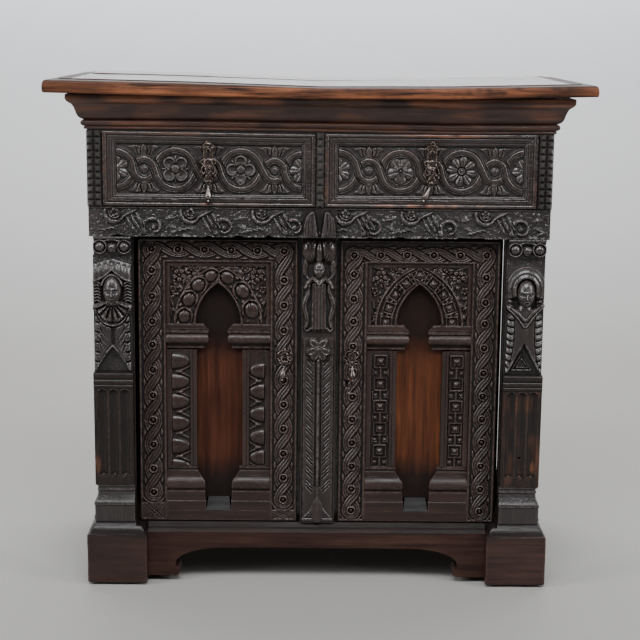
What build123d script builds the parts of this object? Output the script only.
from build123d import *
import os
from math import asin, cos, sin

# Court cupboard in oak: two drawers over two niche doors, carved terms at the corners.
# Millimetres. X runs left to right across the front, the front looks along -Y, Z is up,
# and the origin is on the floor at the middle of the footprint.

# ---------------------------------------------------------------- driving dimensions
TOP_WIDTH, DEPTH, HEIGHT = 1000.0, 518.0, 966.0
TOP_THICK = 21.0
PAD = 5.0                         # slips under the feet
FRONT = -193.0                    # plane of the frieze, the drawers and the nailhead strips
BACK = 250.0                      # rear face of the rear posts
UPPER_HALF = 433.0                # half width of the drawer stage
LOWER_HALF = 424.0                # half width of the cupboard stage
UPRIGHT = 21.0                    # thickness of the posts beside the drawers and at the rear

BLOCK_TOP, OGEE_TOP, PEDESTAL_TOP, NECK_FOOT, NECK_TOP = 103.0, 131.0, 163.0, 181.0, 193.0
SHAFT_FOOT, SHAFT_TOP, BAND_TOP, TERM_TOP = 211.0, 389.0, 419.0, 645.0
FRIEZE = (681.0, 737.0)           # underside and top of the frieze rail
STAGE_TOP = 874.0                 # underside of the cornice
TOP_UNDER = HEIGHT - TOP_THICK

COLUMN_X = 391.0                  # centre line of the corner columns
POST_FRONT, POST_REAR = -168.0, -133.0
POST_INNER = 352.0
BLOCK_X = (329.0, 444.0)
BLOCK_Y = (-211.0, -110.0)
PEDESTAL_X = (350.0, 427.0)

FLOOR_TOP = 117.0                 # cupboard floor and top of the base rail
RAIL_FACE, RAIL_REAR = -183.0, -140.0
RAIL_FOOT = 11.0
ARCH_CROWN, ARCH_SPRING, ARCH_HALF, ARCH_FLAT, CUSP = 69.0, 36.0, 276.0, 178.0, 9.0

DOOR_X = (40.5, 344.5)            # from the centre post to the corner post
DOOR_Z = (119.0, 674.0)
DOOR_FACE, DOOR_BACK = -168.0, -142.0
STILE, TOP_RAIL, BOTTOM_RAIL = 52.0, 44.0, 41.0
PIVOT_X, PIVOT_Y = 335.5, -155.0
PIVOT_R, PIVOT_FREE, PIVOT_IN_RAIL, PIVOT_IN_DOOR = 4.0, 0.06, 10.0, 25.0
NICHE_X = 192.5                   # centre line of each door and its niche

DRAWER_X = (8.0, 406.0)
DRAWER_Z = (738.5, 872.0)
DRAWER_REAR = 205.0
HANDLE_X = 208.0
POST_HALF, STOP_HALF, STOP_REAR = 33.0, 50.0, -120.0

REAR_RAIL_Y = (212.0, 236.0)
REAR_POST_Y = 200.0
REAR_INNER = 404.5
SIDE_INNER = 400.0
MUNTIN_Y = (18.0, 49.0)
BOTTOM_RAIL_Z = (52.0, 130.0)
RUNNER = 14.0

nodes = {}


# ---------------------------------------------------------------- helpers
def block(x, y, z):
    """A box between its lowest and highest values along X, Y and Z."""
    (x0, x1), (y0, y1), (z0, z1) = sorted(x), sorted(y), sorted(z)
    return Pos((x0 + x1) / 2, (y0 + y1) / 2, (z0 + z1) / 2) * Box(x1 - x0, y1 - y0, z1 - z0)


def outline(points):
    """A face from its corner points."""
    return make_face(Polyline(*points, close=True))


def across(face, y0, y1):
    """A face drawn in X and Z, made solid from y0 back to y1."""
    return extrude(Plane.XZ.offset(-y1) * face, y1 - y0)


def along(face, x0, x1):
    """A face drawn in Y and Z, made solid from x0 to x1."""
    return extrude(Plane.YZ.offset(x0) * face, x1 - x0)


def upright(face, z0, z1):
    """A face drawn in X and Y, made solid from z0 up to z1."""
    return extrude(Plane.XY.offset(z0) * face, z1 - z0)


def rod_y(x, z, radius, y0, y1):
    """A round piece along Y."""
    return across(Pos(x, z) * Circle(radius), y0, y1)


def egg(x, y, z, rx, ry, rz):
    """An ellipsoid."""
    return Pos(x, y, z) * scale(Sphere(10), by=(rx / 10, ry / 10, rz / 10))


def mirrored(shape):
    """The shape on the other side of the cupboard."""
    return mirror(shape, Plane.YZ)


def handed(shape, side):
    """The shape as made for the right, or its mirror image on the left."""
    return shape if side == "right" else mirrored(shape)


def both(*shapes):
    """Each shape followed by its mirror image."""
    return [piece for shape in shapes for piece in (shape, mirrored(shape))]


def add(name, *solids):
    """Keep one node of one or more separate solids."""
    nodes[name] = solids[0] if len(solids) == 1 else Compound(list(solids))


# ---------------------------------------------------------------- feet and base
# Distance in and rise of the base moulding, from the arris of the block to the pedestal.
OGEE = [(0, 0), (5, 7), (5, 11), (9, 15), (13, 22), (14, OGEE_TOP - BLOCK_TOP)]


def plinth_block():
    """Square foot block, its top edge moulded to meet the pedestal."""
    (x0, x1), (y0, y1) = BLOCK_X, BLOCK_Y
    span = OGEE[-1][0]
    inner = [(x0 + run * (PEDESTAL_X[0] - x0) / span, BLOCK_TOP + rise) for run, rise in OGEE]
    outer = [(x1 - run * (x1 - PEDESTAL_X[1]) / span, BLOCK_TOP + rise) for run, rise in OGEE]
    front = [(y0 + run, BLOCK_TOP + rise) for run, rise in OGEE]
    body = across(outline([(x0, PAD)] + inner + outer[::-1] + [(x1, PAD)]), y0, y1)
    body &= along(outline([(y0, PAD)] + front + [(y1, OGEE_TOP), (y1, PAD)]), x0, x1)
    body -= block((x0 - 1, LOWER_HALF), (POST_FRONT, y1 + 1), (BLOCK_TOP, OGEE_TOP + 1))
    return body - block((x0 - 1, PEDESTAL_X[0]), (y0, POST_FRONT), (FLOOR_TOP, OGEE_TOP + 1))


def pivot_socket(z0, z1):
    """The holes for the pivot pins of both doors."""
    hole = upright(Pos(PIVOT_X, PIVOT_Y) * Circle(PIVOT_R + PIVOT_FREE), z0, z1)
    return hole + mirrored(hole)


def base_rail():
    """Arched front rail with cusped ends, its top edge moulded."""
    profile = [(RAIL_FACE, RAIL_FOOT), (RAIL_FACE, BLOCK_TOP - 3), (RAIL_FACE + 4, BLOCK_TOP + 3),
               (RAIL_FACE + 8, BLOCK_TOP + 6), (POST_FRONT - 1, FLOOR_TOP), (RAIL_REAR, FLOOR_TOP),
               (RAIL_REAR, RAIL_FOOT)]
    rail = along(outline(profile), -BLOCK_X[0], BLOCK_X[0])
    rail += block((-POST_INNER, POST_INNER), (POST_FRONT, RAIL_REAR), (BLOCK_TOP, FLOOR_TOP))
    low = RAIL_FOOT - 1
    gap = Pos(0, (low + ARCH_CROWN) / 2) * Rectangle(2 * ARCH_FLAT, ARCH_CROWN - low)
    gap += Pos(0, (low + ARCH_SPRING) / 2) * Rectangle(2 * ARCH_HALF, ARCH_SPRING - low)
    for x in (-1, 1):
        gap += Pos(x * ARCH_FLAT, ARCH_SPRING) * Ellipse(ARCH_HALF - ARCH_FLAT, ARCH_CROWN - ARCH_SPRING)
    for x in (-1, 1):
        gap -= Pos(x * ARCH_HALF, RAIL_FOOT + CUSP) * Circle(CUSP)
    rail -= across(gap, RAIL_FACE - 1, RAIL_REAR + 1)
    return rail - pivot_socket(FLOOR_TOP - PIVOT_IN_RAIL - 2, FLOOR_TOP + 1)


add("foot_pads", *both(block((346, 432), (-196, -128), (0, PAD)),
                       block((REAR_INNER, LOWER_HALF), (204, 246), (0, PAD))))
add("plinth_blocks", *both(plinth_block()))
add("base_rail", base_rail())


# ---------------------------------------------------------------- corner columns
def tapered(z0, half0, front0, z1, half1, front1):
    """A block on the column's centre line that tapers from one section to another."""
    sections = []
    for z, half, front in ((z0, half0, front0), (z1, half1, front1)):
        face = Pos(COLUMN_X, (front + POST_FRONT) / 2) * Rectangle(2 * half, POST_FRONT - front)
        sections.append(Plane.XY.offset(z) * face)
    return loft(sections)


def pedestal():
    """Plain die, sloping neck and fillet under the fluted shaft."""
    die = tapered(OGEE_TOP, 38.5, -198, PEDESTAL_TOP, 36, -196.5)
    die += tapered(PEDESTAL_TOP, 36, -196.5, NECK_FOOT, 33.5, -193)
    die += tapered(NECK_FOOT, 33.5, -193, NECK_TOP, 30, -189)
    return die + tapered(NECK_TOP, 31.5, -191, SHAFT_FOOT, 31.5, -191)


def pilaster():
    """Fluted shaft that widens upwards, under a three-part moulded band."""
    shaft = tapered(SHAFT_FOOT, 32, -191, SHAFT_TOP, 36, -195)
    for x in (-21, 0, 21):
        flute = Rot(0, 0, 90) * SlotCenterToCenter(SHAFT_TOP - SHAFT_FOOT - 46, 15)
        shaft -= across(Pos(COLUMN_X + x, (SHAFT_TOP + SHAFT_FOOT) / 2 - 1) * flute, -200, -188.5)
    for z0, z1, half, front in ((0, 8, 37.5, -197.5), (8, 13, 35.5, -195.5), (13, 23, 37, -199),
                                (23, BAND_TOP - SHAFT_TOP, 34.5, -194)):
        shaft += tapered(SHAFT_TOP + z0, half, front, SHAFT_TOP + z1, half, front)
    return shaft


def volute_cap():
    """Ionic cap: a volute at each side and a small carved block between them."""
    cap = block((COLUMN_X - 34, COLUMN_X + 36), (-190, POST_FRONT), (TERM_TOP, FRIEZE[0]))
    for x in (-22, 24):
        cap += rod_y(COLUMN_X + x, 661, 14.5, -199, POST_FRONT)
        cap += egg(COLUMN_X + x, -199, 661, 9, 6, 9)
    return cap + block((COLUMN_X - 9, COLUMN_X + 11), (-201, -189), (650, 676))


def from_block(figure):
    """A term figure trimmed to the front of the post."""
    return figure & block((COLUMN_X - 60, COLUMN_X + 60), (-230, POST_FRONT), (BAND_TOP, TERM_TOP))


def pleated_term():
    """Bearded man: long curled hair, pleated collar and two leaf drapes."""
    figure = tapered(BAND_TOP, 34, -186, TERM_TOP, 36.5, -187)
    figure += egg(COLUMN_X, -188, 577, 15.5, 23, 26)
    collar = rod_y(COLUMN_X, 548, 31, -200, -180)
    figure += collar & block((300, 480), (-210, -170), (505, 556))
    for x in (-1, 1):
        figure += block((COLUMN_X + x * 19, COLUMN_X + x * 34), (-201, -180), (556, 592))
        drape = outline([(COLUMN_X + x * 2, 515), (COLUMN_X + x * 34, 545), (COLUMN_X + x * 33, 434),
                         (COLUMN_X + x * 2, 482)])
        figure += across(drape, -199, -180)
    return from_block(figure)


def hatted_term():
    """Beardless figure: wide arched hat, V collar, smooth body and scalloped wings."""
    figure = tapered(BAND_TOP, 34, -186, TERM_TOP, 36.5, -187)
    figure += egg(COLUMN_X, -188, 580, 17, 24, 25)
    brim = Pos(COLUMN_X, 580) * Circle(36) - Pos(COLUMN_X, 576) * Circle(21)
    figure += across(brim, -203, -180) & block((300, 480), (-210, -170), (578, 622))
    body = outline([(COLUMN_X - 33, 556), (COLUMN_X, 540), (COLUMN_X + 33, 556), (COLUMN_X + 34, 434),
                    (COLUMN_X, 486), (COLUMN_X - 34, 434)])
    return from_block(figure + across(body, -201, -180))


add("pedestals", *both(pedestal()))
for side in ("left", "right"):
    add(f"pilaster_{side}", handed(pilaster(), side))
add("term_left", mirrored(pleated_term()))
add("term_right", hatted_term())
add("volute_caps", *both(volute_cap()))


# ---------------------------------------------------------------- carcass frame
def front_post():
    """Corner post: wide behind the column, narrow beside the drawers."""
    plan = outline([(POST_INNER, POST_FRONT), (LOWER_HALF, POST_FRONT), (LOWER_HALF, POST_REAR),
                    (POST_INNER + 6, POST_REAR), (POST_INNER, POST_REAR - 17)])
    x = (UPPER_HALF - UPRIGHT, UPPER_HALF)
    post = upright(plan, BLOCK_TOP, FRIEZE[1])
    post += block(x, (POST_FRONT, POST_REAR), (FRIEZE[1], TOP_UNDER))
    return post + block(x, (FRONT + 7, POST_FRONT), (FRIEZE[1], STAGE_TOP))


def rear_post():
    """Rear corner post, down to its pad."""
    y = (REAR_POST_Y, BACK)
    post = block((REAR_INNER, LOWER_HALF), y, (PAD, FRIEZE[0]))
    return post + block((REAR_INNER, UPPER_HALF), y, (FRIEZE[0], TOP_UNDER))


def rear_rail(z0, z1):
    """Cross rail that the back boards are nailed to."""
    return block((-REAR_INNER, REAR_INNER), REAR_RAIL_Y, (z0, z1))


def raised_panel(y, z, outer):
    """Side panel with a bevelled field, its field 4 mm inside the frame's face."""
    flat = block((outer - 14, outer - 8), y, z)
    plane = Plane.YZ.offset(outer - 8)
    centre = Pos((y[0] + y[1]) / 2, (z[0] + z[1]) / 2)
    low = plane * centre * Rectangle(y[1] - y[0] - 12, z[1] - z[0] - 12)
    high = plane.offset(4) * centre * Rectangle(y[1] - y[0] - 52, z[1] - z[0] - 52)
    return flat + loft([low, high])


def frieze_rail():
    """Carved rail between the drawers and the doors, lapped over the posts."""
    rail = block((-UPPER_HALF, UPPER_HALF), (FRONT - 3, POST_FRONT), FRIEZE)
    rail += block((-POST_INNER, POST_INNER), (POST_FRONT, RAIL_REAR), FRIEZE)
    return rail - pivot_socket(FRIEZE[0] - 1, FRIEZE[0] + PIVOT_IN_RAIL + 2)


def centre_post():
    """Post between the doors, with a wider stop behind and a small figure in relief."""
    z = (FLOOR_TOP, FRIEZE[0])
    post = block((-POST_HALF, POST_HALF), (POST_FRONT - 7, STOP_REAR), z)
    post += block((-STOP_HALF, STOP_HALF), (RAIL_REAR, STOP_REAR), z)
    figure = block((-15, 15), (POST_FRONT - 16, POST_FRONT), (500, 602))
    figure += block((-24, 24), (POST_FRONT - 13, POST_FRONT), (580, 603))
    figure += egg(0, POST_FRONT - 8, 618, 11, 12, 17)
    return post + figure + rod_y(0, 464, 23, POST_FRONT - 13, POST_FRONT)


def centre_bracket():
    """Two acanthus leaves folded over the frieze, parted by a groove."""
    back = FRONT - 3
    profile = [(back, FRIEZE[0] + 3), (back - 12, FRIEZE[0] + 3), (back - 17, FRIEZE[0] + 18),
               (back - 13, FRIEZE[0] + 40), (back - 6, FRIEZE[1] - 4), (back, FRIEZE[1] - 3)]
    groove = [(back - 30, FRIEZE[0]), (back - 12, FRIEZE[0]), (back - 9, FRIEZE[1]),
              (back - 30, FRIEZE[1])]
    return along(outline(profile), -32, 32) - along(outline(groove), -2, 2)


for side in ("left", "right"):
    add(f"front_post_{side}", handed(front_post(), side))
add("rear_frame", *both(rear_post()), rear_rail(BOTTOM_RAIL_Z[0], FLOOR_TOP),
    rear_rail(FRIEZE[0], FRIEZE[1] - RUNNER), rear_rail(900, TOP_UNDER))
bay = (POST_REAR, REAR_POST_Y)
bottom_side = block((SIDE_INNER, LOWER_HALF), (BLOCK_Y[1], REAR_POST_Y), BOTTOM_RAIL_Z)
bottom_side += block((SIDE_INNER, LOWER_HALF), (POST_REAR, BLOCK_Y[1]), (BLOCK_TOP, BOTTOM_RAIL_Z[1]))
add("side_rails", *both(bottom_side,
                        block((SIDE_INNER, UPPER_HALF), bay, FRIEZE),
                        block((UPPER_HALF - UPRIGHT, UPPER_HALF), bay, (STAGE_TOP, TOP_UNDER)),
                        block((SIDE_INNER, LOWER_HALF), MUNTIN_Y, (BOTTOM_RAIL_Z[1], FRIEZE[0]))))
lower_panel_z = (BOTTOM_RAIL_Z[1], FRIEZE[0])
add("side_panels", *both(raised_panel((POST_REAR, MUNTIN_Y[0]), lower_panel_z, LOWER_HALF),
                         raised_panel((MUNTIN_Y[1], REAR_POST_Y), lower_panel_z, LOWER_HALF),
                         raised_panel(bay, (FRIEZE[1], STAGE_TOP), UPPER_HALF)))
add("frieze_rail", frieze_rail())
add("front_top_rail", block((-UPPER_HALF, UPPER_HALF), (FRONT, POST_FRONT), (STAGE_TOP, TOP_UNDER)))
add("centre_post", centre_post())
add("centre_bracket", centre_bracket())

under_drawers = (FRIEZE[1] - RUNNER, FRIEZE[1])
add("drawer_divider", block((-7, 7), (FRONT + 7, REAR_RAIL_Y[0]), (FRIEZE[1], STAGE_TOP)))
add("drawer_runners",
    *both(block((UPPER_HALF - 47, SIDE_INNER), (POST_REAR, REAR_RAIL_Y[0]), under_drawers)),
    block((-28, 28), (RAIL_REAR, REAR_RAIL_Y[0]), under_drawers))

floor = block((-SIDE_INNER, SIDE_INNER), (POST_REAR, REAR_RAIL_Y[0]), (BLOCK_TOP, FLOOR_TOP))
floor += block((-POST_INNER, POST_INNER), (RAIL_REAR, POST_REAR), (BLOCK_TOP, FLOOR_TOP))
add("cupboard_floor", floor)

BOARD_GAP, BOARD_THICK, SHRINKAGE = 1.0, 12.0, 3.4   # the last board has shrunk off its post
board_edges = [-REAR_INNER, -198.0, 4.0, 203.0, REAR_INNER - SHRINKAGE]
add("back_boards", *[block((x0, x1 - BOARD_GAP), (REAR_RAIL_Y[1], REAR_RAIL_Y[1] + BOARD_THICK),
                           (BOTTOM_RAIL_Z[0], TOP_UNDER))
                     for x0, x1 in zip(board_edges, board_edges[1:])])


# ---------------------------------------------------------------- cornice and top
# Distance out from the carcass and height of the cornice, from the bead up to the fillet.
CORNICE = [(0, STAGE_TOP), (2, 876), (7, 877), (8, 881), (7, 886), (2, 888), (4, 893), (7, 904),
           (13, 915), (22, 923), (22, 926), (26, 928), (29, 932), (31, 936), (31, TOP_UNDER)]
# Distance in from the nose and drop below the top face of the thumb moulding.
THUMB = [(22, 0), (22, 2.5), (15, 3.5), (8, 6), (3, 10), (0, 14.5), (0, 18.5), (3, TOP_THICK)]
PLANK_JOINTS = (-DEPTH / 2, -84.0, 88.0, DEPTH / 2)


def cornice_ring():
    """The moulding round the front and both sides."""
    side = [(UPPER_HALF + out, z) for out, z in CORNICE]
    front = [(FRONT - out, z) for out, z in CORNICE]
    ring = across(outline(side + [(-x, z) for x, z in side[::-1]]), FRONT - 40, BACK)
    ring &= along(outline(front + [(BACK, TOP_UNDER), (BACK, STAGE_TOP)]), -TOP_WIDTH / 2, TOP_WIDTH / 2)
    return ring - block((-UPPER_HALF, UPPER_HALF), (FRONT, BACK + 1), (STAGE_TOP - 1, HEIGHT))


def mitre_zone(reach=60):
    """Everything in front of the two corner mitres."""
    corners = [(-UPPER_HALF, FRONT), (-UPPER_HALF - reach, FRONT - reach),
               (UPPER_HALF + reach, FRONT - reach), (UPPER_HALF, FRONT)]
    return upright(outline(corners), STAGE_TOP - 1, HEIGHT)


def top_board():
    """The whole top, its front and ends moulded and its rear edge square."""
    half, front, rear = TOP_WIDTH / 2, -DEPTH / 2, DEPTH / 2
    side = [(half - run, HEIGHT - drop) for run, drop in THUMB]
    nose = [(front + run, HEIGHT - drop) for run, drop in THUMB]
    whole = across(outline(side + [(-x, z) for x, z in side[::-1]]), front, rear)
    return whole & along(outline(nose + [(rear, TOP_UNDER), (rear, HEIGHT)]), -half, half)


ring = cornice_ring()
add("cornice_front", ring & mitre_zone())
add("cornice_sides", *(ring - mitre_zone()).solids())
board = top_board()
for name, y0, y1 in zip(("front", "middle", "rear"), PLANK_JOINTS, PLANK_JOINTS[1:]):
    add(f"top_plank_{name}", board & block((-TOP_WIDTH, TOP_WIDTH), (y0, y1), (TOP_UNDER - 1, HEIGHT + 1)))


# ---------------------------------------------------------------- nailhead strips
def nailheads(x0, x1, columns, rows=10):
    """A strip of small pyramids, like rows of square nail heads."""
    z0, z1 = FRIEZE[1], STAGE_TOP
    strip = block((x0, x1), (FRONT, FRONT + 7), (z0, z1))
    wide, tall = (x1 - x0) / columns, (z1 - z0) / rows
    for i in range(columns):
        for j in range(rows):
            centre = Pos(x0 + (i + 0.5) * wide, z0 + (j + 0.5) * tall)
            base = Plane.XZ.offset(-FRONT) * centre * Rectangle(wide - 1.6, tall - 1.6)
            tip = Plane.XZ.offset(-FRONT + 4) * centre * Rectangle(1.5, 1.5)
            strip += loft([base, tip])
    return strip


add("nailhead_strips", *both(nailheads(UPPER_HALF - UPRIGHT, UPPER_HALF, 2)), nailheads(-7, 7, 1))


# ---------------------------------------------------------------- doors
PANEL_X = (DOOR_X[0] + STILE, DOOR_X[1] - STILE)
PANEL_Z = (DOOR_Z[0] + BOTTOM_RAIL, DOOR_Z[1] - TOP_RAIL)
PANEL_FACE, PANEL_BACK = -150.0, -144.0
NICHE_FACE = -163.0
ARCH_HALF_SPAN, ARCH_FOOT, ARCH_APEX = 46.0, 509.0, 593.0
RING_HALF_SPAN, RING_APEX = 82.0, 626.0
SHAFT_X, SHAFT_Z = (48.0, 94.0), (229.0, 459.0)
STRIP_X = (55.0, 84.0)
IMPOST_GAP, BASE_GAP, SILL_HALF = 18.0, 26.0, 23.0
# Height and how far each stage stands back from the door's face.
IMPOST = [(459, 14), (464, 6), (473, 2), (474, 0), (487, 0), (491, 2), (491, 5), (495, 5),
          (495, 1.5), (ARCH_FOOT, 4.5)]
BASE = [(PANEL_Z[0], 2), (183, 2), (184, 4), (185, 0), (196, 0), (204, 3), (207, 6), (211, 6),
        (211, 8), (218, 8), (222, 12), (SHAFT_Z[0], 12)]


def pointed_arch(half, spring, apex, foot):
    """A pointed arch in X and Z, centred on the niche and carried straight down to foot."""
    rise = apex - spring
    centre = (rise ** 2 - half ** 2) / (2 * half)
    radius = centre + half
    turn = asin(rise / radius) / 2
    shoulder = (radius * cos(turn) - centre, spring + radius * sin(turn))
    left, top, right = (-half, spring), (0, apex), (half, spring)
    edges = [Line((-half, foot), left), ThreePointArc(left, (-shoulder[0], shoulder[1]), top),
             ThreePointArc(top, shoulder, right), Line(right, (half, foot)),
             Line((half, foot), (-half, foot))]
    return Pos(NICHE_X, 0) * make_face(edges)


def arch_plate():
    """Head of the niche: a framed board with a pointed opening and a raised ring."""
    plate = block(PANEL_X, (NICHE_FACE, PANEL_FACE), (ARCH_FOOT, PANEL_Z[1]))
    frame = block(PANEL_X, (DOOR_FACE + 2, NICHE_FACE), (ARCH_FOOT, PANEL_Z[1]))
    frame -= block((PANEL_X[0] + 9, PANEL_X[1] - 9), (DOOR_FACE, NICHE_FACE), (ARCH_FOOT - 1, PANEL_Z[1] - 9))
    ring_face = pointed_arch(RING_HALF_SPAN, ARCH_FOOT, RING_APEX - 6, ARCH_FOOT - 1)
    ring_face &= Pos(NICHE_X, ARCH_FOOT + 60) * Rectangle(200, 120)
    plate += frame + across(ring_face, DOOR_FACE + 2.5, NICHE_FACE)
    opening = pointed_arch(ARCH_HALF_SPAN, ARCH_FOOT, ARCH_APEX, ARCH_FOOT - 1)
    return plate - across(opening, DOOR_FACE - 1, PANEL_FACE + 1)


def returned_moulding(profile, gap, top_gap):
    """A moulding across half the niche, returned to the panel at its inner end."""
    front = [(DOOR_FACE + back, z) for z, back in profile]
    straight = along(outline(front + [(PANEL_FACE, profile[-1][0]), (PANEL_FACE, profile[0][0])]),
                     NICHE_X + gap, PANEL_X[1])
    deepest = max(back for _, back in profile)
    end = [(NICHE_X + gap + (top_gap - gap) * back / deepest, z) for z, back in profile]
    stop = [(PANEL_X[1], profile[-1][0]), (PANEL_X[1], profile[0][0])]
    return straight & across(outline(end + stop), DOOR_FACE - 2, PANEL_FACE)


def about_niche(piece):
    """The piece and its mirror image about the centre line of the niche."""
    return [piece, mirror(piece, Plane.YZ.offset(NICHE_X))]


def niche_shaft():
    """Flat pilaster beside the niche, its carved strip raised."""
    shaft = block((NICHE_X + SHAFT_X[0], NICHE_X + SHAFT_X[1]), (NICHE_FACE, PANEL_FACE), SHAFT_Z)
    return shaft + block((NICHE_X + STRIP_X[0], NICHE_X + STRIP_X[1]), (DOOR_FACE + 2, NICHE_FACE),
                         (SHAFT_Z[0] + 6, SHAFT_Z[1] - 6))


def sill():
    """Sloping stop at the foot of the niche, let into the bottom rail."""
    x = (NICHE_X - SILL_HALF, NICHE_X + SILL_HALF)
    slope = [(DOOR_FACE, PANEL_Z[0] - 19), (PANEL_FACE, PANEL_Z[0] + 8), (PANEL_FACE, PANEL_Z[0] - 19)]
    return along(outline(slope), *x)


def door_stile(x0, x1):
    """Upright member of a door frame."""
    return block((x0, x1), (DOOR_FACE, DOOR_BACK), DOOR_Z)


def pivot_pin(z0, z1):
    """Iron pivot pin in the end of the hinge stile."""
    return upright(Pos(PIVOT_X, PIVOT_Y) * Circle(PIVOT_R), z0, z1)


EAR_OUT, PIN_R = 5.4, 1.2          # half width over the ears of a handle, and its pin


def pull(x, z_top, z_pin):
    """Small cast plate with two ears and the pin that its drop hangs from."""
    face = DOOR_FACE
    plate = outline([(x - 11, z_pin - 2), (x - 14, z_top - 16), (x - 9, z_top - 8), (x, z_top),
                     (x + 9, z_top - 8), (x + 14, z_top - 16), (x + 11, z_pin - 2), (x, z_pin - 7)])
    body = across(plate, face - 3, face)
    for ear in (-EAR_OUT, EAR_OUT - 2):
        body += block((x + ear, x + ear + 2), (face - 12, face - 2), (z_pin - 2.5, z_pin + 2.5))
    return body + along(Pos(face - 9.5, z_pin) * Circle(PIN_R), x - EAR_OUT + 1, x + EAR_OUT - 1)


def drop(x, y, z_pin, length, tilt):
    """Pear drop with an eye round its pin, hanging tilt degrees to one side."""
    eye = along(Pos(y, z_pin) * Circle(3.2), x - 1.6, x + 1.6)
    shank = upright(Pos(x, y) * Circle(1.4), z_pin - length * 0.4, z_pin - 2)
    pear = egg(x, y, z_pin - length * 0.62, 5, 4.5, length * 0.26)
    ball = egg(x, y, z_pin - length * 0.93, 2.6, 2.6, length * 0.08)
    body = eye + shank + pear + ball
    body = body.rotate(Axis((x, y, z_pin), (0, 1, 0)), tilt)
    return body - along(Pos(y, z_pin) * Circle(PIN_R + 0.1), x - 6, x + 6)


PULL_X, PULL_TOP, PULL_PIN = 64.5, 470.0, 440.0
for side, tilt in (("left", 8.0), ("right", -4.0)):
    def keep(name, *solids):
        """Add a node of this door."""
        add(f"{side}_door_{name}", *[handed(solid, side) for solid in solids])

    pins = [pivot_pin(FLOOR_TOP - PIVOT_IN_RAIL, DOOR_Z[0] + PIVOT_IN_DOOR),
            pivot_pin(DOOR_Z[1] - PIVOT_IN_DOOR, FRIEZE[0] + PIVOT_IN_RAIL)]
    stile = door_stile(PANEL_X[1], DOOR_X[1])
    keep("hinge_stile", stile - pins[0] - pins[1])
    keep("lock_stile", door_stile(DOOR_X[0], PANEL_X[0]))
    bottom = block(PANEL_X, (DOOR_FACE, DOOR_BACK), (DOOR_Z[0], PANEL_Z[0]))
    bottom -= block((NICHE_X - SILL_HALF, NICHE_X + SILL_HALF), (DOOR_FACE - 1, PANEL_FACE),
                    (PANEL_Z[0] - 19, PANEL_Z[0] + 1))
    keep("rails", block(PANEL_X, (DOOR_FACE, DOOR_BACK), (PANEL_Z[1], DOOR_Z[1])), bottom)
    keep("panel", block(PANEL_X, (PANEL_FACE, PANEL_BACK), PANEL_Z))
    keep("arch", arch_plate())
    keep("niche_pilasters", *about_niche(niche_shaft()))
    keep("niche_mouldings", *about_niche(returned_moulding(IMPOST, IMPOST_GAP, IMPOST_GAP + 14)),
         *about_niche(returned_moulding(BASE, BASE_GAP, SHAFT_X[0])), sill())
    keep("pivot_pins", *pins)
    keep("pull_plate", pull(PULL_X, PULL_TOP, PULL_PIN))
    mirror_sign = 1 if side == "right" else -1
    keep("pull_drop", drop(PULL_X, DOOR_FACE - 9.5, PULL_PIN, 46, mirror_sign * tilt))
add("right_door_lock", block((STOP_HALF + 3, 92), (DOOR_BACK, DOOR_BACK + 12), (376, 436)))


# ---------------------------------------------------------------- drawers
FRAME_FACE, FRONT_BACK, FIELD = FRONT - 1, FRONT + 25, FRONT + 4
FRAME_WIDE, SIDE_THICK, BOTTOM_THICK, BOTTOM_Z = 23.0, 10.0, 6.0, 744.0


def drawer_front():
    """Moulded front: a bead and a bevelled frame round a carved field."""
    front = block(DRAWER_X, (FRAME_FACE, FRONT_BACK), DRAWER_Z)
    x, z = sum(DRAWER_X) / 2, sum(DRAWER_Z) / 2
    wide, tall = DRAWER_X[1] - DRAWER_X[0], DRAWER_Z[1] - DRAWER_Z[0]
    plane = Plane.XZ
    outer = plane.offset(-FRAME_FACE) * Pos(x, z) * Rectangle(wide - 16, tall - 16)
    inner = plane.offset(-FIELD) * Pos(x, z) * Rectangle(wide - 2 * FRAME_WIDE, tall - 2 * FRAME_WIDE)
    return front - loft([inner, outer])


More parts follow.
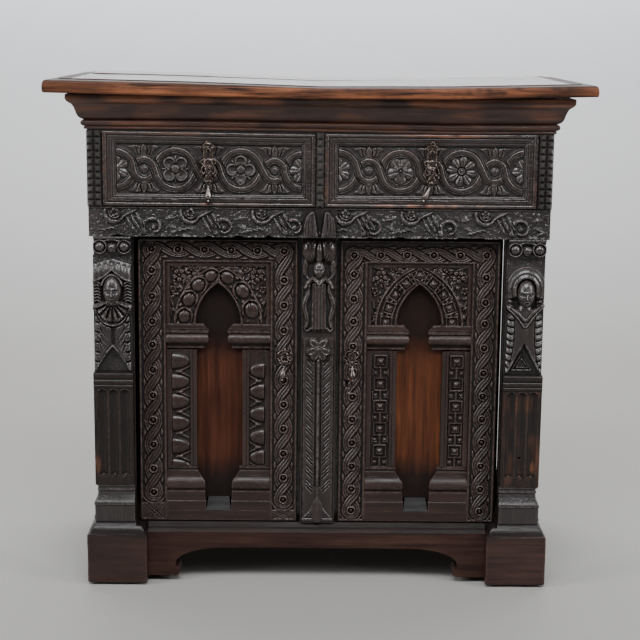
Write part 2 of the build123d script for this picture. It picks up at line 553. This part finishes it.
def drawer_box():
    """Two sides and a back, behind the drawer front."""
    x0, x1 = DRAWER_X[0] + 4, DRAWER_X[1] - 4
    y, z = (FRONT_BACK, DRAWER_REAR), (DRAWER_Z[0], 858)
    return [block((x0, x0 + SIDE_THICK), y, z), block((x1 - SIDE_THICK, x1), y, z),
            block((x0 + SIDE_THICK, x1 - SIDE_THICK), (DRAWER_REAR - SIDE_THICK, DRAWER_REAR),
                  (BOTTOM_Z, 858))]


def drawer_bottom():
    """Thin board between the sides, a little above their lower edges."""
    x = (DRAWER_X[0] + 4 + SIDE_THICK, DRAWER_X[1] - 4 - SIDE_THICK)
    return block(x, (FRONT_BACK, DRAWER_REAR - SIDE_THICK), (BOTTOM_Z, BOTTOM_Z + BOTTOM_THICK))


SHIELD_FACE = FRONT - 5
SHIELD_PIN = 787.0


def escutcheon():
    """Crowned shield with a keyhole, and two ears and a pin for the drop."""
    x = HANDLE_X
    shield = outline([(x - 8, 783), (x - 16, 806), (x - 10, 816), (x - 16, 822), (x - 9, 840),
                      (x - 11, 853), (x - 4, 850), (x, 864), (x + 4, 850), (x + 11, 853), (x + 9, 840),
                      (x + 16, 822), (x + 10, 816), (x + 16, 806), (x + 8, 783)])
    keyhole = Pos(x, 843) * Circle(2.6) + Pos(x, 838) * Rectangle(2.4, 9)
    plate = across(shield - keyhole, SHIELD_FACE, SHIELD_FACE + 2)
    plate += block((x - 7, x + 7), (SHIELD_FACE + 2, FIELD), (796, 830))
    for ear in (-EAR_OUT, EAR_OUT - 2):
        plate += block((x + ear, x + ear + 2), (SHIELD_FACE - 9, SHIELD_FACE + 1),
                       (SHIELD_PIN - 2.5, SHIELD_PIN + 2.5))
    return plate + along(Pos(SHIELD_FACE - 6.5, SHIELD_PIN) * Circle(PIN_R), x - EAR_OUT + 1, x + EAR_OUT - 1)


for side, tilt in (("left", 0.0), ("right", 25.0)):
    add(f"{side}_drawer_front", handed(drawer_front(), side))
    add(f"{side}_drawer_box", *[handed(solid, side) for solid in drawer_box()])
    add(f"{side}_drawer_bottom", handed(drawer_bottom(), side))
    add(f"{side}_drawer_escutcheon", handed(escutcheon(), side))
    add(f"{side}_drawer_drop", handed(drop(HANDLE_X, SHIELD_FACE - 6.5, SHIELD_PIN, 34, tilt), side))

os.makedirs("parts", exist_ok=True)
for name, shape in nodes.items():
    export_step(shape, f"parts/{name}.step")
print(len(nodes), "nodes")
